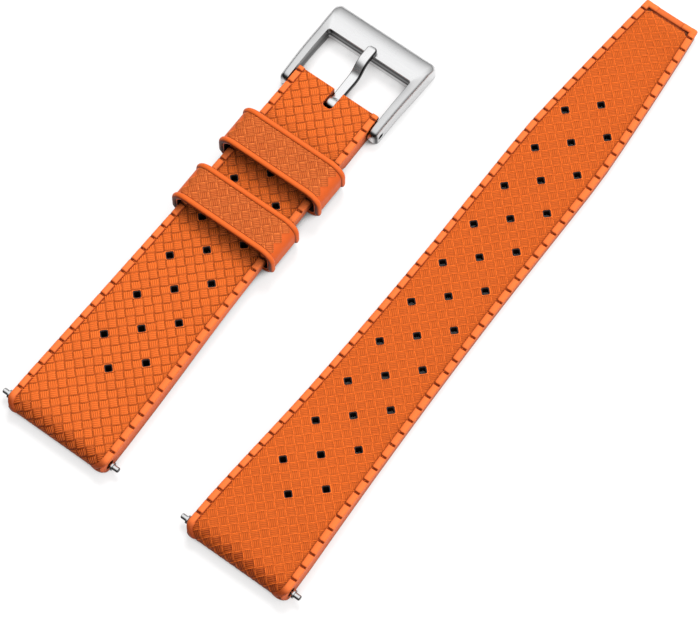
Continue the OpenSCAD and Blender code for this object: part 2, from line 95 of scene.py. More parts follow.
def short_under(s):
    """How high the short half's hollow underside lies."""
    return HOLLOW_H * min(smooth((s - HOLLOW_FROM) / HOLLOW_OVER), 1 - smooth((s - STEP_AT) / STEP_LENGTH))


LONG_MARKS = [NOSE_R + (LONG_LENGTH - NOSE_R) * i / 24 for i in range(25)]
SHORT_MARKS = [NOSE_R + (STEP_AT - NOSE_R) * i / 14 for i in range(15)]
SHORT_MARKS += [STEP_AT + STEP_LENGTH, SHORT_LENGTH]


def along(marks, value, s):
    """The value at s, straight between the marks, as the solids have it."""
    if s <= marks[0]:
        return value(marks[0])
    for a, b in zip(marks, marks[1:]):
        if s <= b:
            return value(a) + (value(b) - value(a)) * (s - a) / (b - a)
    return value(marks[-1])


class Half:
    """One rubber half: where it lies, how wide it is and how high its rails run."""

    def __init__(self, name, x, length, marks, width, top, holes, last_notch):
        self.name, self.x, self.length, self.marks = name, x, length, marks
        self.width_at, self.top_at, self.holes = width, top, holes
        run = length - NOTCH_FIRST - last_notch
        count = round(run / NOTCH_PITCH)
        self.notches = [NOTCH_FIRST + i * run / count for i in range(count + 1)]

    def width(self, s):
        return along(self.marks, self.width_at, s)

    def top(self, s):
        return along(self.marks, self.top_at, s)

    def place(self, x, t, h):
        """The point over the woven field at x across and t along it, h above it.

        Below NOSE_R the field rolls over the nose.
        """
        if t >= NOSE_R:
            z = self.top(t) - RAIL_H
            slope = (self.top(t + 0.5) - self.top(t - 0.5)) if t < self.length - 1 else 0.0
            return (self.x + x, NOSE_Y + t - h * slope, z + h)
        turn = (NOSE_R - t) / BODY_R
        r = BODY_R + h
        return (self.x + x, NOSE_Y + NOSE_R - r * math.sin(turn), BODY_R + r * math.cos(turn))

    def hole_centres(self):
        centre = [(0.0, FIRST_HOLE + HOLE_PITCH * k) for k in range(self.holes)]
        side = [(c * ROW, FIRST_HOLE + HOLE_PITCH * (k + 0.5))
                for k in range(self.holes - 1) for c in (-1, 1)]
        return centre + side


LONG = Half("long", LONG_X, LONG_LENGTH, LONG_MARKS, long_half_width, long_top, LONG_HOLES, 1.8)
SHORT = Half("short", SHORT_X, SHORT_LENGTH, SHORT_MARKS, short_half_width, short_top, SHORT_HOLES, 0.9)


# Camera, light, floor
def make_camera():
    """The photograph's camera, solved from the square holes of both halves."""
    azimuth, elevation, distance = math.radians(36.52), math.radians(66.43), 568.4
    target = Vector((7.655, -16.00, 3.35))
    back = Vector((math.sin(azimuth) * math.cos(elevation),
                   -math.cos(azimuth) * math.cos(elevation), math.sin(elevation)))
    data = bpy.data.cameras.new("camera")
    data.sensor_width = 36.0
    data.lens = 184.46
    data.clip_start, data.clip_end = 0.02, 50.0
    camera = bpy.data.objects.new("camera", data)
    camera.rotation_mode = "QUATERNION"
    camera.location = (target + back * distance) * MM
    camera.rotation_quaternion = (-back).to_track_quat("-Z", "Y")
    SCENE.collection.objects.link(camera)
    SCENE.camera = camera


def make_light(name, direction, distance, size, power):
    """A square lamp in a direction from the middle of the part, facing it."""
    data = bpy.data.lights.new(name, "AREA")
    data.shape, data.size, data.energy = "SQUARE", size, power
    lamp = bpy.data.objects.new(name, data)
    direction = Vector(direction).normalized()
    lamp.location = direction * distance
    lamp.rotation_mode = "QUATERNION"
    lamp.rotation_quaternion = direction.to_track_quat("Z", "Y")
    lamp.visible_glossy = False
    SCENE.collection.objects.link(lamp)


class Nodes:
    """A short way to write a node tree."""

    def __init__(self, tree):
        self.tree = tree
        tree.nodes.clear()

    def add(self, kind, inputs=None, **settings):
        node = self.tree.nodes.new(kind)
        for key, value in settings.items():
            setattr(node, key, value)
        for key, value in (inputs or {}).items():
            if isinstance(value, bpy.types.NodeSocket):
                self.tree.links.new(value, node.inputs[key])
            else:
                node.inputs[key].default_value = value
        return node

    def mix(self, factor, a, b):
        return self.add("ShaderNodeMix", {0: factor, 6: a, 7: b}, data_type="RGBA").outputs[2]

    def either(self, factor, a, b):
        """The first shader at factor 0, the second at 1."""
        return self.add("ShaderNodeMixShader", {0: factor, 1: a.outputs[0], 2: b.outputs[0]})

    def math(self, operation, a, b=0.5, clamped=False):
        return self.add("ShaderNodeMath", {0: a, 1: b}, operation=operation, use_clamp=clamped).outputs[0]

    def step(self, value, low, high):
        """0 below low, 1 above high, smooth between them."""
        return self.add("ShaderNodeMapRange", {"Value": value, "From Min": low, "From Max": high},
                        interpolation_type="SMOOTHSTEP").outputs[0]

    def noise(self, **inputs):
        names = {key.capitalize(): value for key, value in inputs.items()}
        return self.add("ShaderNodeTexNoise", names).outputs[0]

    def greys(self, value, stops):
        """A grey ramp: stops are pairs of position and brightness."""
        ramp = self.add("ShaderNodeValToRGB", {"Fac": value})
        elements = ramp.color_ramp.elements
        while len(elements) < len(stops):
            elements.new(0.5)
        for element, (position, bright) in zip(elements, stops):
            element.position, element.color = position, (bright, bright, bright, 1)
        return ramp.outputs["Color"]


def new_material(name):
    """A material with an empty node tree."""
    material = bpy.data.materials.new(name)
    material.use_nodes = True
    return material, Nodes(material.node_tree)


def rgb(r, g, b):
    """A screen colour, 0 to 255, as the shader's linear one."""
    def linear(c):
        c /= 255
        return c / 12.92 if c <= 0.04045 else ((c + 0.055) / 1.055) ** 2.4
    return (linear(r), linear(g), linear(b), 1.0)


def make_world():
    """Studio light, stronger from behind and from the right, with a darker front for the steel to show."""
    world = bpy.data.worlds.new("studio")
    world.use_nodes = True
    SCENE.world = world
    n = Nodes(world.node_tree)
    path = n.add("ShaderNodeLightPath")
    part = n.add("ShaderNodeSeparateXYZ", {0: n.add("ShaderNodeTexCoord").outputs["Generated"]})
    x, y, height = part.outputs["X"], part.outputs["Y"], part.outputs["Z"]
    behind = n.step(y, -0.5, 0.3)
    beside = n.step(n.math("ADD", y, n.math("MULTIPLY", x, 0.9)), -0.45, 0.35)
    soft = n.mix(beside, n.greys(height, [(0.0, 0.02), (0.5, 0.09), (0.82, 0.4), (1.0, 1.0)]),
                 n.greys(height, [(0.0, 0.42), (0.45, 0.80), (1.0, 1.0)]))
    right = n.step(x, 0.1, 0.8)
    soft = n.mix(right, soft, n.greys(height, [(0.0, 1.35), (0.5, 1.15), (1.0, 1.0)]))
    shown = n.mix(behind, n.greys(height, [(0.0, 0.015), (0.38, 0.09), (0.66, 0.40), (0.9, 1.0)]),
                  n.greys(height, [(0.0, 0.16), (0.2, 0.24), (0.63, 0.68), (0.85, 1.08)]))
    light = n.add("ShaderNodeBackground", {"Color": soft, "Strength": 1.22})
    gloss = n.add("ShaderNodeBackground", {"Color": shown, "Strength": 1.0})
    seen = n.add("ShaderNodeBackground", {"Color": (1, 1, 1, 1), "Strength": 1.0})
    lit = n.either(path.outputs["Is Glossy Ray"], light, gloss)
    both = n.either(path.outputs["Is Camera Ray"], lit, seen)
    n.add("ShaderNodeOutputWorld", {"Surface": both.outputs[0]})


def make_floor():
    """White paper under the part, which keeps the part's soft shadow. Its glow is dimmed where ambient
    occlusion is high, a painted shade in the holes and close round the part.
    """
    half, low = 4.0, -0.00002
    mesh = bpy.data.meshes.new("floor")
    mesh.from_pydata([(-half, -half, low), (half, -half, low), (half, half, low), (-half, half, low)],
                     [], [(0, 1, 2, 3)])
    floor = bpy.data.objects.new("floor", mesh)
    SCENE.collection.objects.link(floor)
    material, n = new_material("floor_paper")
    path = n.add("ShaderNodeLightPath")
    mirrored = n.math("MULTIPLY", path.outputs["Is Glossy Ray"], 0.8)
    seen = n.math("MAXIMUM", path.outputs["Is Camera Ray"], mirrored)
    occlusion_for_painted_shade = n.add("ShaderNodeAmbientOcclusion", {"Distance": 0.006}, samples=16).outputs["AO"]
    # Painted shade: the glow fades where the floor is closed in, under the holes and close round the part
    strength = n.math("MULTIPLY", n.math("MULTIPLY", seen, n.step(occlusion_for_painted_shade, 0.2, 0.5)), 0.62)
    grain = n.noise(scale=900.0, detail=3.0)
    tone = n.mix(n.math("MULTIPLY", grain, 0.04), (0.40, 0.395, 0.395, 1), (0.37, 0.37, 0.37, 1))
    paper = n.add("ShaderNodeBsdfDiffuse", {"Color": tone})
    glow = n.add("ShaderNodeEmission", {"Color": (1, 1, 1, 1), "Strength": strength})
    both = n.add("ShaderNodeAddShader", {0: paper.outputs[0], 1: glow.outputs[0]})
    n.add("ShaderNodeOutputMaterial", {"Surface": both.outputs[0]})
    mesh.materials.append(material)


make_camera()
make_light("key", (-0.38, 0.72, 1.2), 1.0, 0.34, 5.6)
make_world()
make_floor()


# Materials
def rubber(name, low, high, rough=0.52, grain=0.12):
    """Moulded rubber, coloured by the painted light and shade that the mesh carries at each point.

    Tone 0, in a groove, has the colour low, a painted shade, and 1, on a ridge, the colour high, a painted
    light. Below 0 it turns black, a painted deep shadow, and where ambient occlusion finds it closed in it is
    painted darker.
    """
    material, n = new_material(name)
    painted_shading = n.add("ShaderNodeAttribute", attribute_name="painted_shading").outputs["Fac"]
    place = n.add("ShaderNodeTexCoord").outputs["Object"]
    cloud = n.noise(vector=place, scale=160.0, detail=3.0)
    speck = n.noise(vector=place, scale=2600.0, detail=4.0, roughness=0.6)
    colour = n.mix(n.step(painted_shading, -1.0, 0.0), (0.008, 0.004, 0.003, 1), n.mix(painted_shading, low, high))
    dark = tuple(c * 0.86 for c in high[:3]) + (1.0,)
    colour = n.mix(n.math("MULTIPLY", cloud, 0.22), colour, dark)
    pale = tuple(clamp(c * 1.12 + 0.01) for c in high[:3]) + (1.0,)
    colour = n.mix(n.math("MULTIPLY", n.math("SUBTRACT", speck, 0.45, True), 0.6), colour, pale)
    # Painted shade: darker in creases, beside walls and under the keepers, where ambient occlusion is high
    occlusion_for_painted_shade = n.add("ShaderNodeAmbientOcclusion", {"Distance": 0.0045}, samples=4).outputs["AO"]
    colour = n.mix(n.step(occlusion_for_painted_shade, 0.18, 0.82), n.mix(0.9, colour, (0.01, 0.004, 0.002, 1)), colour)
    rough_out = n.math("ADD", n.math("MULTIPLY", speck, 0.16), rough - 0.08)
    bump = n.add("ShaderNodeBump", {"Height": speck, "Strength": grain, "Distance": 0.00006})
    shader = n.add("ShaderNodeBsdfPrincipled", {
        "Base Color": colour, "Roughness": rough_out, "Normal": bump.outputs[0],
        "IOR": 1.5, "Specular IOR Level": 0.14})
    n.add("ShaderNodeOutputMaterial", {"Surface": shader.outputs[0]})
    return material


def steel(name, tone, rough, streak=(40.0, 900.0, 900.0), painted_dark_reflection=None, underside=False):
    """Stainless steel with a fine brushed grain along one axis.

    Where the painted shading is 0 it takes the given dark tone, a painted dark reflection. With underside,
    what faces sideways and down is painted dark, a painted reflection.
    """
    material, n = new_material(name)
    place = n.add("ShaderNodeTexCoord").outputs["Object"]
    stretched = n.add("ShaderNodeMapping", {"Vector": place, "Scale": streak}).outputs[0]
    brush = n.noise(vector=stretched, scale=5.0, detail=5.0, roughness=0.65)
    cloud = n.noise(vector=place, scale=300.0, detail=2.0)
    colour = n.mix(n.math("MULTIPLY", brush, 0.35), (tone, tone, tone * 1.005, 1),
                   (tone * 0.8, tone * 0.8, tone * 0.81, 1))
    # Painted reflection: dark on what faces sideways and down
    if underside:
        normal = n.add("ShaderNodeNewGeometry").outputs["Normal"]
        up = n.add("ShaderNodeSeparateXYZ", {0: normal}).outputs["Z"]
        colour = n.mix(n.step(up, 0.55, 0.9), (0.02, 0.02, 0.022, 1), colour)
    # Painted reflection: dark where the painted shading is 0
    if painted_dark_reflection is not None:
        painted_shading = n.add("ShaderNodeAttribute", attribute_name="painted_shading").outputs["Fac"]
        colour = n.mix(painted_shading, (painted_dark_reflection, painted_dark_reflection, painted_dark_reflection * 1.04, 1), colour)
    rough_out = n.math("ADD", n.math("MULTIPLY", n.math("ADD", brush, cloud), 0.09), rough - 0.09)
    bump = n.add("ShaderNodeBump", {"Height": brush, "Strength": 0.25, "Distance": 0.00001})
    shader = n.add("ShaderNodeBsdfPrincipled", {
        "Base Color": colour, "Metallic": 1.0, "Roughness": rough_out, "Normal": bump.outputs[0]})
    n.add("ShaderNodeOutputMaterial", {"Surface": shader.outputs[0]})
    return material


# Each rubber runs from a low colour, a painted shade in grooves, to a high one, a painted light on ridges
RUBBER_BODY = rubber("rubber_body", rgb(238, 112, 60), rgb(238, 112, 60))
RUBBER_WEAVE_LONG = rubber("rubber_weave_long", rgb(90, 20, 0), rgb(255, 120, 42))
RUBBER_WEAVE_SHORT = rubber("rubber_weave_short", rgb(96, 20, 0), rgb(251, 121, 46))
RUBBER_RAIL = rubber("rubber_rail", rgb(132, 42, 8), rgb(250, 124, 60), rough=0.46)
RUBBER_KEEPER = rubber("rubber_keeper", rgb(224, 98, 36), rgb(224, 98, 36), rough=0.46)
RUBBER_KEEPER_RIM = rubber("rubber_keeper_rim", rgb(70, 16, 4), rgb(234, 106, 42), rough=0.44)
RUBBER_KEEPER_WEAVE = rubber("rubber_keeper_weave", rgb(130, 32, 2), rgb(255, 136, 64))
# Painted shade: near-black linings in the holes, the slot and the keepers, where there is only shade
SHADE = rubber("rubber_painted_shade", rgb(62, 52, 52), rgb(70, 46, 40), rough=0.8)
# Satin and tang steels: painted dark reflection where their shading is 0; bar steel: painted dark underneath
STEEL_SATIN = steel("steel_satin", 0.88, 0.26, painted_dark_reflection=0.015)
STEEL_TANG = steel("steel_tang", 0.90, 0.20, streak=(900.0, 60.0, 900.0), painted_dark_reflection=0.015)
STEEL_BAR = steel("steel_bar", 0.80, 0.14, streak=(900.0, 90.0, 90.0), underside=True)
STEEL_PLAIN = steel("steel_plain", 0.86, 0.26)


# Meshes
def new_mesh(name, points, faces, painted_shading=None):
    """A mesh of points in millimetres, with its relief if given, its faces cleaned and turned outwards."""
    mesh = bpy.data.meshes.new(name)
    mesh.from_pydata([(x * MM, y * MM, z * MM) for x, y, z in points], [], faces)
    if painted_shading:
        mesh.attributes.new("painted_shading", "FLOAT", "POINT").data.foreach_set("value", painted_shading)
    bm = bmesh.new()
    bm.from_mesh(mesh)
    bmesh.ops.dissolve_degenerate(bm, dist=2e-7, edges=bm.edges)
    bmesh.ops.recalc_face_normals(bm, faces=bm.faces)
    bm.to_mesh(mesh)
    bm.free()
    return mesh


class Shape:
    """Collects points in millimetres, faces and each point's relief, and makes an object of them."""

    def __init__(self):
        self.points, self.faces, self.painted_shading = [], [], []

    def add(self, points, faces, painted_shading):
        start = len(self.points)
        self.points += points
        self.faces += [tuple(start + i for i in f) for f in faces]
        self.painted_shading += painted_shading if isinstance(painted_shading, list) else [painted_shading] * len(points)

    def sweep(self, rings, painted_shading, closed=False):
        """Skin over rings of the same number of points, capped at its ends unless it closes on itself."""
        n, m = len(rings[0]), len(rings)
        points = [p for ring in rings for p in ring]
        faces = []
        for k in range(m if closed else m - 1):
            a, b = k * n, ((k + 1) % m) * n
            faces += [(a + i, a + (i + 1) % n, b + (i + 1) % n, b + i) for i in range(n)]
        if not closed:
            faces += [tuple(range(n - 1, -1, -1)), tuple(range((m - 1) * n, m * n))]
        self.add(points, faces, painted_shading)

    def make(self, name, material, body, slot, sharp=38.0):
        mesh = new_mesh(name, self.points, self.faces, self.painted_shading)
        mesh.shade_smooth()
        mesh.set_sharp_from_angle(angle=math.radians(sharp))
        mesh.materials.append(material)
        piece = bpy.data.objects.new(name, mesh)
        SCENE.collection.objects.link(piece)
        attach(piece, body)
        return piece


# The woven squares
DIAGONAL = HOLE_PITCH / 4  # a square's diagonal, which runs along and across the strap
SIDE = DIAGONAL / math.sqrt(2)
COS_45 = math.sqrt(0.5)
REACH = 0.9  # how far past a line the centre of a square that is kept may lie
# A dipping edge's darker tone is a painted shade
DIP_H, DIP_TONE = 0.03, 0.85  # how much a dipping edge is lower and darker
RIBS, UNDER = 4, -0.08  # a square's ribs, and the height of its underside


class Weave:
    """How one woven square is cut. Its sides run along its ribs, which dip under the next square at its ends.

    side and end are rings from the edge inwards: distance in, height and tone. rib and valley are the height
    and tone of a rib and of the valley beside it. The tones are painted light on the ridges and painted shade
    in the grooves. slant is how much the edges towards the watch dip and are painted darker, as shade, arch
    how much the ribs bow, lift the deepest grooves' tone, and nose how the tones darken over the nose, a
    painted shade.
    """

    def __init__(self, side, end, rib, valley, slant, arch=0.0, lift=0.0, nose=1.0):
        self.side, self.end, self.rib, self.valley = side, end, rib, valley
        self.slant, self.arch, self.lift, self.nose = slant, arch, lift, nose

    def lines(self):
        """Where the lines across the ribs lie, with the ring or the rib that each belongs to."""
        foot = SIDE / 2 - self.side[-1][0]
        inner = [(-foot + foot * i / RIBS, "rib" if i % 2 else "valley") for i in range(1, 2 * RIBS)]
        rings = [(SIDE / 2 - ring[0], ring) for ring in self.side]
        return [(-p, r) for p, r in rings] + inner + [(p, r) for p, r in rings[::-1]]

    def ends(self):
        """The same along the ribs, where only the rings and three lines between them count."""
        foot = SIDE / 2 - self.end[-1][0]
        rings = [(SIDE / 2 - ring[0], ring) for ring in self.end]
        between = [(foot * f, None) for f in (-0.5, 0.0, 0.5)]
        return [(-p, r) for p, r in rings] + between + [(p, r) for p, r in rings[::-1]]


LONG_WEAVE = Weave(side=[(-0.02, 0.12, 1.0), (0.09, 0.12, 1.0), (0.12, 0.05, 0.2)],
                   end=[(0.0, 0.11, 1.0), (0.09, 0.11, 1.0), (0.13, 0.06, 0.3)],
                   rib=(0.10, 0.52), valley=(0.04, 0.02), slant=0.1, lift=0.3, nose=0.75)
SHORT_WEAVE = Weave(side=[(-0.06, 0.02, 0.45), (-0.03, 0.12, 1.0), (0.04, 0.12, 0.97), (0.08, 0.06, 0.5)],
                    end=[(0.05, 0.0, 0.45), (0.10, 0.08, 0.9), (0.16, 0.11, 0.95)],
                    rib=(0.14, 0.95), valley=(0.06, 0.4), slant=0.65, arch=0.15, lift=0.15, nose=2.2)
KEEPER_WEAVE = Weave(side=[(-0.02, 0.11, 1.0), (0.08, 0.11, 1.0), (0.11, 0.05, 0.2)],
                     end=[(0.0, 0.10, 1.0), (0.10, 0.10, 1.0), (0.14, 0.05, 0.3)],
                     rib=(0.11, 0.62), valley=(0.03, 0.12), slant=0.35)


def square(weave, cx, ct, turned):
    """One woven square, flat, with its centre at cx across and ct along: its points, faces and tones."""
    across, along_ribs = weave.lines(), weave.ends()
    a, b = across[-1][0], along_ribs[-1][0]
    n, m = len(across), len(along_ribs)
    # Squares differ a little in tone
    shade = 1.0 + 0.03 * ((round(cx * 7) + round(ct * 5)) % 5 - 2)
    points, tones = [], []

    def flat(u, v):
        if turned:
            u, v = v, -u
        return cx + (u - v) * COS_45, ct + (u + v) * COS_45

    for v, end in along_ribs:
        for u, kind in across:
            if kind in ("rib", "valley"):
                h, tone = weave.rib if kind == "rib" else weave.valley
                h *= 1 - weave.arch * (v / b) ** 2
            else:
                # Edges towards the watch dip, and are painted darker as shade
                dip = weave.slant if (u < 0) != turned else 0.0
                h, tone = kind[1] - DIP_H * dip, kind[2] * (1 - DIP_TONE * dip)
            if end:
                dip = weave.slant if v < 0 else 0.0
                h, tone = min(h, end[1] - DIP_H * dip), min(tone, end[2] * (1 - DIP_TONE * dip))
            points.append(flat(u, v) + (h,))
            tones.append(clamp(tone * shade))
    faces = [(j * n + i, j * n + i + 1, (j + 1) * n + i + 1, (j + 1) * n + i)
             for j in range(m - 1) for i in range(n - 1)]
    base = len(points)
    for u, v in ((-a, -b), (a, -b), (a, b), (-a, b)):
        points.append(flat(u, v) + (UNDER,))
        tones.append(0.0)
    first_row, last_row = tuple(range(n)), tuple(range((m - 1) * n, m * n))
    left, right = tuple(range(0, m * n, n)), tuple(range(n - 1, m * n, n))
    faces += [first_row[::-1] + (base, base + 1), right[::-1] + (base + 1, base + 2),
              last_row + (base + 2, base + 3), left + (base + 3, base), (base + 3, base + 2, base + 1, base)]
    return points, faces, tones


def trimmed(points, faces, tones, cx, ct, cuts):
    """Takes off what lies beyond each cut and closes the solid again.

    A cut is a line through (x, t) that faces (nx, nt).
    """
    near = [c for c in cuts if (cx - c[0]) * c[2] + (ct - c[1]) * c[3] > -DIAGONAL / 2]
    if not near:
        return points, faces, tones
    bm = bmesh.new()
    layer = bm.verts.layers.float.new("painted_shading")
    verts = [bm.verts.new(p) for p in points]
    for vert, tone in zip(verts, tones):
        vert[layer] = tone
    for face in faces:
        bm.faces.new([verts[i] for i in face])
    for x, t, nx, nt in near:
        made = bmesh.ops.bisect_plane(bm, geom=bm.verts[:] + bm.edges[:] + bm.faces[:], dist=1e-6,
                                      plane_co=(x, t, 0), plane_no=(nx, nt, 0), clear_outer=True)
        edges = [e for e in made["geom_cut"] if isinstance(e, bmesh.types.BMEdge)]
        if edges:
            bmesh.ops.holes_fill(bm, edges=edges, sides=0)
    bm.verts.index_update()
    result = ([tuple(v.co) for v in bm.verts], [tuple(v.index for v in f.verts) for f in bm.faces],
              [v[layer] for v in bm.verts])
    bm.free()
    return result


# The raised border round a hole: its height, the ledge it leaves round the hole, its opening's round corners
BORDER_H, LEDGE, BORDER_CORNER, CORNER_STEPS = 0.13, 0.115, 0.28, 6


def border_outlines():
    """The border's outer edge, which is a square's, and its opening, from corner to corner."""
    outer, inner = [], []
    reach, straight = SIDE / 2 - 0.005, HOLE_SIDE / 2 + LEDGE - BORDER_CORNER
    for k in range(4):
        sx = 1 if k in (0, 3) else -1
        sy = 1 if k in (0, 1) else -1
        for i in range(CORNER_STEPS + 1):
            angle = math.radians(90 * k + 90 * i / CORNER_STEPS)
            c, s = math.cos(angle), math.sin(angle)
            inner.append((sx * straight + BORDER_CORNER * c, sy * straight + BORDER_CORNER * s))
            scale = reach / max(abs(c), abs(s))
            outer.append((scale * c, scale * s))
    return outer, inner


def hole_frame(shape, shade_liner, square_at, hole_at, place, depth):
    """The raised border round a hole, and a dark lining of painted shade in the hole itself."""
    outer, inner = border_outlines()

    def lay(points, h, centre, grow):
        out = []
        for u, v in points:
            size = max(abs(u), abs(v))
            u, v = u * (size + grow) / size, v * (size + grow) / size
            out.append(place(centre[0] + (u - v) * COS_45, centre[1] + (u + v) * COS_45, h))
        return out

    # Outline, height, centre, how much wider, tone: a painted shade, darker down the border's sides
    border = [(outer, UNDER, square_at, 0.0, 0.0), (outer, 0.08, square_at, 0.0, 0.7),
              (outer, BORDER_H, square_at, -0.02, 1.0), (inner, BORDER_H, hole_at, 0.015, 1.0),
              (inner, BORDER_H - 0.06, hole_at, 0.0, 0.6), (inner, UNDER, hole_at, 0.0, 0.0)]
    shape.sweep([lay(*row[:4]) for row in border], [row[4] for row in border for _ in inner], closed=True)
    # Height and how much wider, for the painted-shade lining: the ledge under the border, the wall down the
    # hole, and back up behind it
    wall = [(BORDER_H - 0.09, -0.004), (0.02, -0.03), (0.0, -0.15), (-depth, -0.15), (-depth, -0.11),
            (-0.05, 0.02)]
    shade_liner.sweep([lay(inner, h, hole_at, grow) for h, grow in wall], 0.0, closed=True)


TIP_FROM, TIP_EASE = 101.0, 0.0055
ROLL_UNDER = 112  # how far the weave runs round the nose, in degrees
ROLL_FROM, ROLL_OVER = 3.4, 3.2  # where along a half the tones change to the nose's
NEAR_NOSE, NOSE_INSET, INSET = 1.5, 0.65, 0.5  # how far in the weave ends beside a rail


def squeezed(t):
    """Past the last hole the weave's rows draw together towards the tip."""
    past = max(t - TIP_FROM, 0.0)
    return t - TIP_EASE * past * past


def place_long(x, t, h):
    """As Half.place on the long half, with the rows drawn together, and flatter near the cross rail."""
    t = squeezed(t)
    if h > 0:
        h *= 0.25 + 0.75 * smooth((LONG_LENGTH - 0.6 - t) / 2.6)
    return LONG.place(x, t, h)


def slot_parts(cuts, cx, ct):
    """The sets of cuts for a square: one, or three where the slot divides it."""
    edge, near = SLOT_HALF + 0.03, 1.1
    if ct <= SLOT_FROM - near or abs(cx) >= edge + near:
        return [cuts]
    return [cuts + [(-edge, 0, 1, 0)], cuts + [(edge, 0, -1, 0)],
            cuts + [(-edge, 0, -1, 0), (edge, 0, 1, 0), (0, SLOT_FROM - 0.03, 0, 1)]]


def weave_on(half, weave, end_at, place):
    """One half's woven field, trimmed at the rails, the ends and the slot, and the linings of its holes,
    which are painted shade.
    """
    shape, shade_liner = Shape(), Shape()
    centres = half.hole_centres()
    start = NOSE_R - BODY_R * math.radians(ROLL_UNDER)
    step = DIAGONAL / 2
    first = int((start - FIRST_HOLE) / step) - 2
    last = int((end_at - FIRST_HOLE) / step) + 3
    for j in range(first, last):
        ct = FIRST_HOLE + j * step
        if ct < start - REACH or ct > end_at + REACH:
            continue
        width = half.width(max(squeezed(ct) if half is LONG else ct, NOSE_R))
        limit = width - (NOSE_INSET if ct < NEAR_NOSE else INSET)
        cuts = [(limit, ct, 1, 0), (-limit, ct, -1, 0), (0, end_at, 0, 1), (0, start, 0, -1)]
        rolled = smooth((ROLL_FROM - ct) / ROLL_OVER)
        for i in range(-11, 12):
            cx = i * step
            if (i + j) % 2 or abs(cx) > limit + REACH:
                continue
            hole = next((c for c in centres if abs(c[0] - cx) < 0.3 and abs(c[1] - ct) < 0.3), None)
            if hole:
                under = short_under(ct) if half is SHORT else 0.0
                hole_frame(shape, shade_liner, (cx, ct), hole, place, half.top(ct) - RAIL_H - under - 0.03)
                continue
            for part in slot_parts(cuts, cx, ct) if half is SHORT else [cuts]:
                points, faces, tones = trimmed(*square(weave, cx, ct, j % 2 == 0), cx, ct, part)
                # Painted shade: the grooves' tones are lifted a little, and over the nose every tone darkens,
                # the deepest to black
                tones = [(weave.lift + (1 - weave.lift) * tone) * (1 - rolled)
                         + (0.98 * max(tone, 0.0) ** weave.nose - 0.25) * rolled for tone in tones]
                if faces:
                    shape.add([place(*p) for p in points], faces, tones)
    return shape, shade_liner


# Where the long half's weave ends, TIP_GAP before the strap's end, as measured before its rows draw together
TIP_GAP = 1.2
TIP_FLAT = TIP_FROM + (1 - math.sqrt(1 - 4 * TIP_EASE * (LONG_LENGTH - TIP_GAP - TIP_FROM))) / (2 * TIP_EASE)

shape, shade_liner = weave_on(LONG, LONG_WEAVE, TIP_FLAT, place_long)
shape.make("long_weave", RUBBER_WEAVE_LONG, "long_half", "orange_rubber", sharp=25)
shade_liner.make("long_hole_shade_linings", SHADE, "long_half", "orange_rubber")
shape, shade_liner = weave_on(SHORT, SHORT_WEAVE, SHORT_LENGTH - 0.06, SHORT.place)
shape.make("short_weave", RUBBER_WEAVE_SHORT, "short_half", "orange_rubber", sharp=25)
shade_liner.make("short_hole_shade_linings", SHADE, "short_half", "orange_rubber")


# The rails, block by block
# Across a rail: distance in from the strap's edge and height over the rail's top
BEAD = [(-0.035, -0.86), (-0.055, -0.55), (-0.055, -0.30), (-0.02, -0.10), (0.06, 0.04), (0.19, 0.13),
        (0.46, 0.18), (0.72, 0.17), (0.94, 0.11), (1.08, 0.0), (1.16, -0.16), (1.18, -0.5)]
# The bead's dark inner line is a painted shadow of the rail on the field
BEAD_TOP, BEAD_EDGE = 1.0, 1.1  # where the bead's top ends, and where its dark inner line begins
# How deep a notch cuts at each of those points, and how far along the strap it is shifted there
CUTS = {"left": [0.0, 0.05, 0.12, 0.24, 0.36, 0.42, 0.44, 0.44, 0.42, 0.34, 0.16, 0.0],
        "right": [0.0, 0.0, 0.03, 0.10, 0.24, 0.36, 0.44, 0.46, 0.46, 0.38, 0.16, 0.0]}
BOWS = {"left": [0.0] * 12,
        "right": [0.16, 0.15, 0.13, 0.08, 0.04, 0.0, -0.06, -0.08, -0.04, 0.04, 0.10, 0.12]}
# Painted tone of the first points, which are on the outer wall, away from the notches: the left wall is
# painted darker than the right
WALLS = {"left": [0.3, 0.3, 0.35, 0.55], "right": [0.95, 0.95, 0.95, 0.95]}
# Through a notch, along the strap: distance from its middle and the share of its depth there
NOTCH_RINGS = [(-0.40, 0.0), (-0.26, 0.06), (-0.17, 0.85), (-0.09, 1.0), (0.09, 1.0), (0.17, 0.85),
               (0.26, 0.12), (0.40, 0.0)]
NO_NOTCH = 9.0  # stands for the distance to a notch at a station that has none
NOSE_TURNS = (222, 208, 195, 188, 180, 172, 162, 150, 138, 126, 114, 102)  # round the nose, in degrees


def notch_floor(off):
    """Just over the floor of the notch that the solid has, off from its middle."""
    rise = NOTCH_DEEP * clamp((abs(off) - NOTCH_FLAT) / NOTCH_FLAT)
    return min(rise - NOTCH_DEEP + 0.015, 0.0) + 0.014


def corner_in(s):
    """How far the strap's edge lies in where the nose's corner is round."""
    if s >= NOSE_CORNER:
        return 0.0
    return NOSE_CORNER - math.sqrt(max(NOSE_CORNER ** 2 - (NOSE_CORNER - s) ** 2, 0.0))


def bead_tone(k, walls, deep, cut, off):
    """The painted shading at the bead's point k. A notch is deep there, and the station has the share cut of
    it.

    The notch is painted dark as shade, a little more on its side towards the watch, and past the bead's top a
    painted shadow runs along the rail's inner foot.
    """
    d = BEAD[k][0]
    if d >= BEAD_TOP:
        return 0.25 if d < BEAD_EDGE else -0.15
    tone = walls[k] if k < len(walls) else 0.98 - 0.05 * (off < 0) - 0.03 * (off == NO_NOTCH)
    return tone * (1 - cut ** 2 * min(1.0, deep / 0.22))


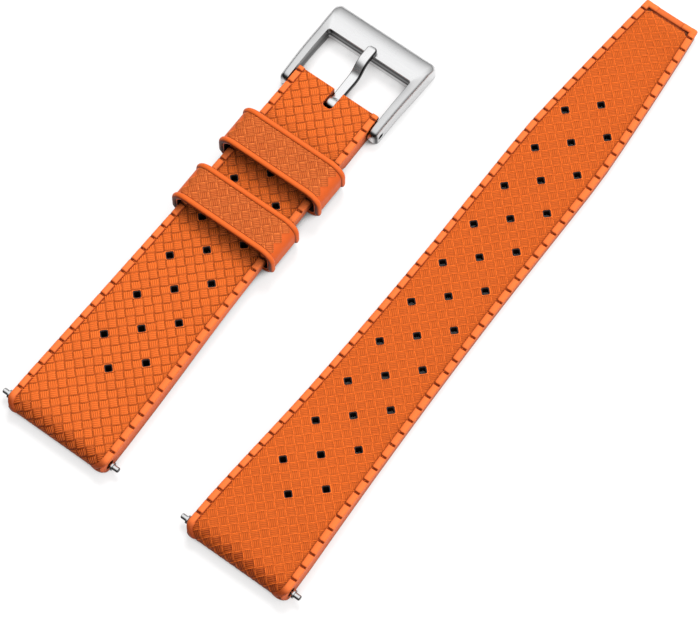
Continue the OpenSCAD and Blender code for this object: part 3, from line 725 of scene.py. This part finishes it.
def rail_stations(half):
    """Along a rail's top: where, the share of a notch's depth, a block's bulge, distance from the notch."""
    stations = [(1.95, 0.0, 0.0, NO_NOTCH), (2.5, 0.0, 0.0, NO_NOTCH)]
    bulge = 0.02
    for k, notch in enumerate(half.notches):
        if k > 0:
            before = half.notches[k - 1]
            stations += [(before + (notch - before) * f, 0.0, bulge * math.sin(math.pi * f), NO_NOTCH)
                         for f in (0.25, 0.5, 0.75)]
        stations += [(notch + off, cut, 0.0, off) for off, cut in NOTCH_RINGS]
    last = half.notches[-1] + 0.42
    stations += [(last + (half.length - last) * f, 0.0, 0.0, NO_NOTCH) for f in (0.3, 0.6, 0.9)]
    return stations + [(half.length + 0.02, 0.22, 0.0, NO_NOTCH)]


def rail_rings(half, side, cuts, bows, walls):
    """The rail's rings from under the nose to the far end, and their painted shading."""
    rings, painted_shading = [], []
    nose_width = half.width(NOSE_R)
    for turn in NOSE_TURNS:
        c, sn = math.cos(math.radians(turn)), math.sin(math.radians(turn))
        s = NOSE_R + NOSE_R * c
        rings.append([(half.x + side * (nose_width - corner_in(s) - d), NOSE_Y + s + h * c,
                       NOSE_R + (NOSE_R + h) * sn) for d, h in BEAD])
        # Painted shade: the rail darkens as it rolls under the nose
        painted_shading += [0.95 - 0.85 * smooth((turn - 86) / 46)] * len(BEAD)
    for s, cut, crown, off in rail_stations(half):
        top, width = half.top(min(s, half.length)), half.width(min(s, half.length))
        ring = []
        for k, (d, h) in enumerate(BEAD):
            lift = crown if 0.05 < d < BEAD_TOP else 0.0
            shift = 0.0 if off == NO_NOTCH else bows[k]
            level = max(h - cuts[k] * cut + lift, min(h, notch_floor(off + shift)))
            x = width - d - (0.02 * cut if d < 0.1 else 0.0)
            ring.append((half.x + side * x, NOSE_Y + s + shift, top + level))
            painted_shading.append(bead_tone(k, walls, cuts[k], cut, off))
        rings.append(ring)
    return rings, painted_shading


for half in (LONG, SHORT):
    for side, word in ((-1, "left"), (1, "right")):
        shape = Shape()
        shape.sweep(*rail_rings(half, side, CUTS[word], BOWS[word], WALLS[word]))
        shape.make(f"{half.name}_rail_{word}", RUBBER_RAIL, f"{half.name}_half", "orange_rubber", sharp=50)


# The cross rail at the tip
# Across it: distance from the strap's end, height over the tail on a corner block and on the bar, and tone;
# below 0 the tone is a painted shadow in the groove behind
TIP_SECTION = [(-1.45, -0.34, -0.34, -0.3), (-1.40, -0.265, -0.265, -0.4), (-1.14, -0.25, -0.25, -0.5),
               (-1.05, -0.03, -0.11, -0.2), (-0.95, 0.07, -0.06, 0.75), (-0.72, 0.16, -0.01, 1.0),
               (-0.42, 0.17, 0.0, 1.0), (-0.18, 0.11, -0.04, 0.9), (0.01, 0.0, -0.11, 0.8),
               (0.04, -0.2, -0.26, 0.7), (0.05, -0.6, -0.6, 0.6), (0.03, -1.0, -1.0, 0.6)]
TIP_MARKS = [-4.95, -4.85, -4.7, -4.5, -4.25, -4.0, -3.6, -3.3, -2.75, -2.6, -2.5, -2.4, -2.2, -1.2]
# Half the bar's length, where a pit starts, its length, over what width both change, the corners' radius
BAR_HALF, PIT_FROM, PIT_LENGTH, TIP_STEP, TIP_CORNER = 2.35, 3.3, 0.5, 0.3, 0.95


def tip_rail():
    """Two bulging corner blocks, a lower bar painted darker between them, and behind them a groove with two
    pits, painted dark as shadow.
    """
    rings, painted_shading = [], []
    for x in TIP_MARKS + [0.0] + [-x for x in TIP_MARKS[::-1]]:
        middle = 1 - smooth((abs(x) - BAR_HALF) / TIP_STEP)
        pit = smooth((abs(x) - PIT_FROM) / TIP_STEP)
        past = max(0.0, abs(x) - (TIP_HALF - TIP_CORNER))
        back = TIP_CORNER - math.sqrt(TIP_CORNER * TIP_CORNER - past * past)
        # The bar is painted darker, and the steps between it and the blocks darker still, as a painted shade
        shade = 1 - 0.3 * middle - 1.4 * middle * (1 - middle)
        ring = []
        for ds, block, bar, tone in TIP_SECTION:
            shift = -back * clamp((ds + 1.0) / 0.7) if ds > -1.3 else -PIT_LENGTH * pit
            z = TAIL + block + (bar - block) * middle
            ring.append((LONG_X + x, NOSE_Y + LONG_LENGTH + ds + shift, z))
            # Painted shadow: tones below 0 darken the groove, the more so in the pits
            painted_shading.append(tone * shade if tone > 0 else tone - 0.5 * pit)
        rings.append(ring)
    shape = Shape()
    shape.sweep(rings, painted_shading)
    shape.make("long_tip_rail", RUBBER_RAIL, "long_half", "orange_rubber", sharp=50)


tip_rail()


# The slot's lining, a painted shade
def slot_outline(grow):
    """The slot's closed end seen from above, from one side round to the other."""
    half, r = SLOT_HALF + grow, SLOT_ROUND
    turn = [(-half + r - r * math.cos(a), SLOT_FROM - grow + r - r * math.sin(a))
            for a in [math.radians(15 * i) for i in range(7)]]
    path = turn + [(-x, s) for x, s in turn[::-1]]
    return [(SHORT_X + x, NOSE_Y + s) for x, s in path]


def slot_shade_lining():
    low, high = 0.03, THICK - RAIL_H - 0.06
    rings = [[a + (low,), a + (high,), b + (high,), b + (low,)]
             for a, b in zip(slot_outline(-0.015), slot_outline(0.02))]
    shape = Shape()
    # Painted shade: a dark sheet along the slot's walls and its closed end
    shape.sweep(rings, 0.2)
    shape.make("slot_shade_lining", SHADE, "short_half", "orange_rubber")


slot_shade_lining()


# The keepers
KEEPER_X = SHORT_X + 0.2
KEEPER_HALF, KEEPER_TOP, KEEPER_R, KEEPER_LENGTH, KEEPER_WALL = 9.90, 6.6, 2.6, 7.4, 0.8
UPPER_AT = SHORT_LENGTH - 12.0 - KEEPER_LENGTH
LOWER_AT = UPPER_AT - 5.0 - KEEPER_LENGTH
RIM, WEAVE_TO = 1.0, 8.7  # how wide a rim's strip is, and how far round the sides the weave reaches


def keeper_weave(name, at):
    """Woven squares between a keeper's rims, over its top and its round corners."""
    flat = KEEPER_HALF - KEEPER_R

    def place(w, y, h):
        side, a = (1 if w > 0 else -1), abs(w)
        if a <= flat:
            x, z = a, KEEPER_TOP + h
        else:
            turn = (a - flat) / KEEPER_R
            if turn < math.pi / 2:
                x = flat + (KEEPER_R + h) * math.sin(turn)
                z = KEEPER_TOP - KEEPER_R + (KEEPER_R + h) * math.cos(turn)
            else:
                x, z = KEEPER_HALF + h, KEEPER_TOP - KEEPER_R - (a - flat - KEEPER_R * math.pi / 2)
        return (KEEPER_X + side * x, NOSE_Y + at + y, z)

    shape = Shape()
    step = DIAGONAL / 2
    cuts = [(0, RIM, 0, -1), (0, KEEPER_LENGTH - RIM, 0, 1)]
    for j in range(-3, 4):
        y = KEEPER_LENGTH / 2 + j * step
        for i in range(-9, 10):
            if (i + j) % 2 or abs(i * step) > WEAVE_TO:
                continue
            points, faces, tones = trimmed(*square(KEEPER_WEAVE, i * step, y, j % 2 == 0), i * step, y, cuts)
            if faces:
                shape.add([place(*p) for p in points], faces, tones)
    shape.make(name + "_weave", RUBBER_KEEPER_WEAVE, name, "orange_rubber", sharp=25)


def keeper_rims(name, at):
    """A round bead on each end of a keeper, over its top and sides, painted dark where it meets the wall,
    as shade.
    """
    centre_x, centre_z = KEEPER_HALF - KEEPER_R, KEEPER_TOP - KEEPER_R
    stops = [(KEEPER_HALF, z, 0.0) for z in (1.3, 1.8, 3.0)]
    stops += [(centre_x + KEEPER_R * math.cos(a), centre_z + KEEPER_R * math.sin(a), a)
              for a in [math.radians(10 * k) for k in range(10)]]
    stops += [(-x, z, math.pi - a) for x, z, a in stops[::-1]]
    shape = Shape()
    count, arc, sunk, radius, end_radius = 18, 288, 0.22, 0.545, 0.45
    for middle, start in ((RIM / 2, -24), (KEEPER_LENGTH - RIM / 2, -84)):
        rings, painted_shading = [], []
        for k, (x, z, a) in enumerate(stops):
            r = end_radius if k in (0, len(stops) - 1) else radius
            ring = []
            for i in range(count):
                turn = math.radians(start + arc * i / (count - 1))
                y, out = middle + r * math.cos(turn), -sunk + r * math.sin(turn)
                ring.append((KEEPER_X + x + out * math.cos(a), NOSE_Y + at + y, z + out * math.sin(a)))
                # Painted light and shade: brighter where the bead stands out, dark going to black where it
                # meets the wall
                painted_shading.append(clamp(0.04 + 4.2 * out, -0.8))
            rings.append(ring)
        shape.sweep(rings, painted_shading)
    shape.make(name + "_rims", RUBBER_KEEPER_RIM, name, "orange_rubber", sharp=60)


def keeper_shade_lining(name, at):
    """A dark lining of painted shade inside a keeper."""
    low, high, side = 1.05, KEEPER_TOP - KEEPER_WALL, KEEPER_HALF - KEEPER_WALL
    upper, lower = KEEPER_R - KEEPER_WALL, 1.0
    corners = ((side - upper, high - upper, upper, 0), (-side + upper, high - upper, upper, 90),
               (-side + lower, low + lower, lower, 180), (side - lower, low + lower, lower, 270))
    face, back, short = 0.035, 0.01, 0.2
    section = ((back, short), (back, KEEPER_LENGTH - short), (face, KEEPER_LENGTH - short), (face, short))
    rings = []
    for cx, cz, r, start in corners:
        for k in range(7):
            a = math.radians(start + 15 * k)
            rings.append([(KEEPER_X + cx + (r - inset) * math.cos(a), NOSE_Y + at + y,
                           cz + (r - inset) * math.sin(a)) for inset, y in section])
    shape = Shape()
    shape.sweep(rings, 0.0, closed=True)
    shape.make(name + "_lining", SHADE, name, "orange_rubber")


for keeper, keeper_at in (("upper_keeper", UPPER_AT), ("lower_keeper", LOWER_AT)):
    keeper_weave(keeper, keeper_at)
    keeper_rims(keeper, keeper_at)
    keeper_shade_lining(keeper, keeper_at)


# The buckle's frame
INNER_X, FRONT_X, BACK_X = 8.3, 10.2, 9.85
OPEN_Y, FRONT_Y, FRAME_H = 10.35, 15.45, 3.2
BUCKLE_Y = NOSE_Y + BUCKLE_S
KNUCKLE_CORNER, INNER_CORNER, OUTER_CORNER = 1.1, 0.4, 1.0
ARM_FROM, ARM_TO = -0.5, 14.65  # the stretch over which the frame gets wider
# How wide the outer edge's roll is and how high it starts, on the arms and on the front bar
ARM_ROLL, ARM_WALL, FRONT_ROLL, FRONT_WALL = 0.75, 2.0, 3.2, 2.1
# How much the shoulders lie lower, and how far the arms arch up on top and at their foot
SHOULDER_DROP, ARCH_TOP, ARCH_FOOT = 0.35, 0.3, 0.55
BORE_R = 0.5


def arm_edge(y):
    """How far out the frame's side lies at y from its axis."""
    if y < ARM_FROM:
        return BACK_X - KNUCKLE_CORNER + math.sqrt(max(KNUCKLE_CORNER ** 2 - (y - ARM_FROM) ** 2, 0.0))
    return BACK_X + (FRONT_X - BACK_X) * (y - ARM_FROM) / (ARM_TO - ARM_FROM)


def frame_stations():
    """Stations on the frame's left half, from the knuckle to the middle of the front bar.

    Each has its outer point, its inner point, how wide the outer edge rolls, where the roll starts, and how
    much of the height is left.
    """
    out = []
    for k in range(9):
        turn = math.radians(88.0 - 11.0 * k)
        y = -AXIS_Z * math.sin(turn)
        out.append(((-arm_edge(y), y), (-INNER_X, y), ARM_ROLL, ARM_WALL, math.cos(turn)))
    corner_y, corner_x = OPEN_Y - INNER_CORNER, INNER_X - INNER_CORNER
    for k in range(1, 15):
        y = corner_y * k / 14
        out.append(((-arm_edge(y), y), (-INNER_X, y), ARM_ROLL, ARM_WALL, 1.0))
    steps = 12
    for k in range(1, steps + 1):
        f = k / steps
        turn = math.radians(90 * f)
        inner = (-corner_x - INNER_CORNER * math.cos(turn), corner_y + INNER_CORNER * math.sin(turn))
        if f <= 0.5:
            y = corner_y + (FRONT_Y - OUTER_CORNER - corner_y) * f * 2
            outer = (-arm_edge(y), y)
        else:
            arc = math.radians(90 * (f - 0.5) * 2)
            outer = (-FRONT_X + OUTER_CORNER * (1 - math.cos(arc)),
                     FRONT_Y - OUTER_CORNER * (1 - math.sin(arc)))
        blend = smooth(f * 1.1)
        sunk = SHOULDER_DROP * math.sin(math.pi * clamp((f - 0.25) / 0.75))
        out.append((outer, inner, ARM_ROLL + (FRONT_ROLL - ARM_ROLL) * blend,
                    ARM_WALL + (FRONT_WALL - ARM_WALL) * blend - sunk, 1.0))
    for k in range(1, 7):
        f = k / 6
        out.append(((-(FRONT_X - OUTER_CORNER) * (1 - f), FRONT_Y), (-corner_x * (1 - f), OPEN_Y),
                    FRONT_ROLL, FRONT_WALL, 1.0))
    return out


def frame_section(width, roll, wall):
    """Round one cross section: distance in from the outer edge, height and painted shading.

    The shading is a painted reflection: darker at the outer foot, the roll less bright on the arms than on
    the front bar, a painted highlight along the inner top edge, and the inner wall dark but for a thin
    bright line over its foot at the front.
    """
    front = smooth((roll - ARM_ROLL) / 2.2)
    bright = 0.80 + 0.20 * front
    section = [(0.12, 0.0, 0.3), (0.03, 0.04, 0.8), (0.0, 0.14, 0.9), (0.0, 1.0, 0.9)]
    for i in range(11):
        turn = math.radians(9 * i)
        section.append((roll * (1 - math.cos(turn)), wall + (FRAME_H - wall) * math.sin(turn), bright))
    section += [(width - 0.12, FRAME_H, bright), (width - 0.04, FRAME_H - 0.03, 1.0)]
    inner_wall = [(FRAME_H - 0.10, 0.5), (FRAME_H - 0.2, 0.22 - 0.21 * front), (2.35, 0.14 - 0.13 * front),
                  (2.1, 0.12 + 0.14 * front), (1.75, 0.06 + 0.16 * front), (1.5, 0.02), (1.2, 0.02),
                  (0.95, 0.05 + 0.85 * front), (0.1, 0.15 + 0.8 * front)]
    return section + [(width, z, tone) for z, tone in inner_wall] + [(width - 0.1, 0.0, 0.6)]


def frame_ring(outer, inner, roll, wall, share, mirrored):
    """One cross section of the frame in its place, and its painted shading. The knuckle has a painted dark
    reflection behind.
    """
    width = math.hypot(outer[0] - inner[0], outer[1] - inner[1])
    knuckle = smooth((-outer[1] - 0.55) / 0.3) * (1 - smooth((-outer[1] - 1.2) / 0.25))
    ring, painted_shading = [], []
    for q, z, tone in frame_section(width, min(roll, width - 0.25), wall):
        f = q / width
        x, y = outer[0] + (inner[0] - outer[0]) * f, outer[1] + (inner[1] - outer[1]) * f
        arch = math.sin(math.pi * clamp((y - ARM_FROM) / (OPEN_Y - INNER_CORNER - ARM_FROM)))
        z += arch * (ARCH_FOOT - (ARCH_FOOT - ARCH_TOP) * z / FRAME_H)
        ring.append((SHORT_X + (-x if mirrored else x), BUCKLE_Y + y, AXIS_Z + (z - AXIS_Z) * share))
        painted_shading.append(tone * (1 - 0.93 * knuckle))
    return ring, painted_shading


def cut_bore(piece):
    """Cuts the bar's bore, which runs along X, out of the frame's knuckles."""
    n, reach = 24, 12.0
    turns = [math.radians(15 * k) for k in range(n)]
    points = [(SHORT_X + x, BUCKLE_Y + BORE_R * math.cos(a), AXIS_Z + BORE_R * math.sin(a))
              for x in (-reach, reach) for a in turns]
    faces = [tuple(range(n)), tuple(range(n, 2 * n))]
    faces += [(i, (i + 1) % n, n + (i + 1) % n, n + i) for i in range(n)]
    cutter = bpy.data.objects.new("cutter", new_mesh("cutter", points, faces))
    SCENE.collection.objects.link(cutter)
    cut = piece.modifiers.new("cut", "BOOLEAN")
    cut.operation, cut.solver, cut.object = "DIFFERENCE", "EXACT", cutter
    made = bpy.data.meshes.new_from_object(piece.evaluated_get(bpy.context.evaluated_depsgraph_get()))
    piece.modifiers.clear()
    piece.data = made
    bpy.data.objects.remove(cutter)


def buckle_frame():
    """A smoother skin for the frame, with the bore through its knuckles."""
    left = frame_stations()
    made = [frame_ring(*s, False) for s in left]
    made += [frame_ring(*s, True) for s in left[-2::-1]]
    shape = Shape()
    shape.sweep([ring for ring, tones in made], [tone for ring, tones in made for tone in tones])
    piece = shape.make("buckle_frame_body", STEEL_SATIN, "buckle_frame", "satin_steel", sharp=44)
    cut_bore(piece)
    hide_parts("buckle_frame")


buckle_frame()


# The tang
TANG_HALF, TANG_THICK, TANG_TIP, TANG_ROUND, TANG_WIDER = 0.8, 0.85, 11.65, 0.7, 0.1
TANG_SEAT = FRAME_H - AXIS_Z + 0.03 + TANG_THICK / 2
HUB_IN, HUB_OUT, HUB_EDGE, HUB_STEPS = 0.80, 1.25, 0.1, 56


def bend(a, corner, b, reach_a, reach_b, steps=7):
    """A curve round the corner between a and b, from reach_a before it to reach_b past it."""
    c = Vector(corner)
    p = c + (Vector(a) - c).normalized() * reach_a
    q = c + (Vector(b) - c).normalized() * reach_b
    return [tuple(p * (1 - t) ** 2 + c * 2 * t * (1 - t) + q * t * t)
            for t in [i / steps for i in range(steps + 1)]]


def tang_line():
    """The tang's middle from the side: level from the hub, then up, and level again over the front bar."""
    root, rise, top, tip = (0.95, 0.0), (6.3, 0.0), (8.4, TANG_SEAT), (TANG_TIP, TANG_SEAT)
    line = [root, (2.5, 0.0)] + bend(root, rise, top, 1.1, 1.0) + bend(rise, top, tip, 0.9, 0.9)
    round_from = TANG_TIP - TANG_ROUND
    return line + [(round_from + TANG_ROUND * math.sin(math.radians(a)), TANG_SEAT)
                   for a in (0, 20, 40, 55, 68, 80)]


def tang_section(y):
    """Across the tang at y from its axis: points and their painted shading, bright on top, half dark at the
    left upper edge and dark along the right-hand edge and round the rest.
    """
    past = clamp((y - (TANG_TIP - TANG_ROUND)) / TANG_ROUND)
    w = TANG_HALF
    if past > 0:
        w = TANG_HALF - TANG_ROUND + TANG_ROUND * math.sqrt(max(1 - past * past, 0.0))
    w += TANG_WIDER * smooth((y - 2.1) / 0.8) * (1 - past)
    low, high = -TANG_THICK / 2, TANG_THICK / 2 - 0.22 * past ** 3
    section, shades = [], []
    r = 0.16
    for sx, sy, rx, start in ((1, 1, 0.34, 0), (-1, 1, 0.2, 90), (-1, -1, r, 180), (1, -1, r, 270)):
        cx, cy = sx * (w - rx), (high - r if sy > 0 else low + r)
        for a in (0, 22.5, 45, 67.5, 90):
            t = math.radians(start + a)
            section.append((cx + rx * math.cos(t), cy + r * math.sin(t)))
            if math.sin(t) > (0.95 if sx > 0 else 0.8):
                shades.append(1.0)
            else:
                shades.append(0.5 if sx < 0 and math.sin(t) > 0.3 else 0.03)
    return section, shades


def tang():
    """The bent tongue and the hub that it is rolled from."""
    line = tang_line()
    rings, tones = [], []
    for k, (y, z) in enumerate(line):
        before, after = line[max(k - 1, 0)], line[min(k + 1, len(line) - 1)]
        tangent = (Vector(after) - Vector(before)).normalized()
        normal = Vector((-tangent.y, tangent.x))
        section, shades = tang_section(y)
        rings.append([(SHORT_X + x, BUCKLE_Y + y + normal.x * h, AXIS_Z + z + normal.y * h)
                      for x, h in section])
        tones += shades
    shape = Shape()
    shape.sweep(rings, tones)
    half, high, edge = TANG_HALF, HUB_OUT, HUB_EDGE
    side = [(half, HUB_IN + 0.02), (half, high - edge), (half - 0.03, high - 0.03), (half - edge, high)]
    section = [(-x, r) for x, r in side] + side[::-1] + [(half - 0.02, HUB_IN), (-half + 0.02, HUB_IN)]
    hub, hub_tones = [], []
    for k in range(HUB_STEPS):
        a = 2 * math.pi * k / HUB_STEPS
        # Painted shading: the hub's outer face is bright on top and towards the front, dark round the rest
        shown = smooth((math.sin(a) + 0.5 * max(math.cos(a), 0.0) - 0.7) / 0.25)
        hub_tones += [0.02 + 0.98 * shown if r > 1.2 else 0.02 for x, r in section]
        hub.append([(SHORT_X + x, BUCKLE_Y + r * math.cos(a), AXIS_Z + r * math.sin(a)) for x, r in section])
    shape.sweep(hub, hub_tones, closed=True)
    piece = shape.make("buckle_tang_body", STEEL_TANG, "buckle_tang", "satin_steel", sharp=40)
    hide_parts("buckle_tang")


tang()


# Carried-over solids
CARRIED = {"long_strap": RUBBER_BODY, "short_strap": RUBBER_BODY, "upper_keeper": RUBBER_KEEPER,
           "lower_keeper": RUBBER_KEEPER, "buckle_frame": STEEL_PLAIN, "buckle_tang": STEEL_PLAIN}
for name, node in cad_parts.items():
    material = CARRIED.get(name, STEEL_BAR)
    node.data.materials.clear()
    node.data.materials.append(material)
    for slot in node.material_slots:
        slot.material = material
